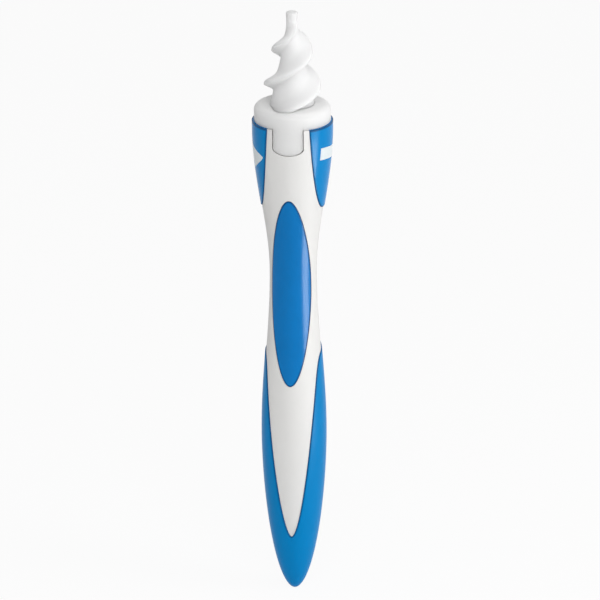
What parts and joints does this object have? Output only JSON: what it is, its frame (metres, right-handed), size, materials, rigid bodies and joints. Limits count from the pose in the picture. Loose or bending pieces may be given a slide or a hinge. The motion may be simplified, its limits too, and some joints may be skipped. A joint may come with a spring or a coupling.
{
  "type": "ear wax cleaner",
  "caption": "Hand-held ear wax cleaner: slim waisted handle in white and blue with a round head, and a push-fit soft spiral tip behind a guard flange.",
  "frame": {"origin": "on the handle's axis at the height of the middle of the thumb pad, where a hand holds it", "axes": "+Z along the handle towards the tip, -Y out of the thumb pad (the front), +X to the right seen from the front"},
  "size_m": [0.0218, 0.0213, 0.1686],
  "materials": {
    "shell_white": "fine satin, warm white",
    "collar_blue": "satin gloss, bright blue",
    "grip_blue": "soft-touch satin, bright blue",
    "pad_blue": "gloss, deeper blue",
    "arrow_white": "satin, bluish white",
    "socket_white": "satin, white",
    "tip_white": "satin, neutral white",
    "spiral_soft": "soft elastomer, slightly translucent white"
  },
  "bodies": {
    "handle": {"front_shell": "shell_white", "rear_shell": "shell_white", "head_collar": "collar_blue", "lower_grip": "grip_blue", "thumb_pad": "pad_blue", "direction_arrow": "arrow_white", "tip_socket": "socket_white"},
    "tip": {"tip_base": "tip_white", "spiral_tip": "spiral_soft"}
  },
  "joints": [
    {"name": "tip_pull", "type": "slide", "parent": "handle", "child": "tip", "axis": [0, 0, 1], "range_m": [0, 0.0135]}
  ]
}
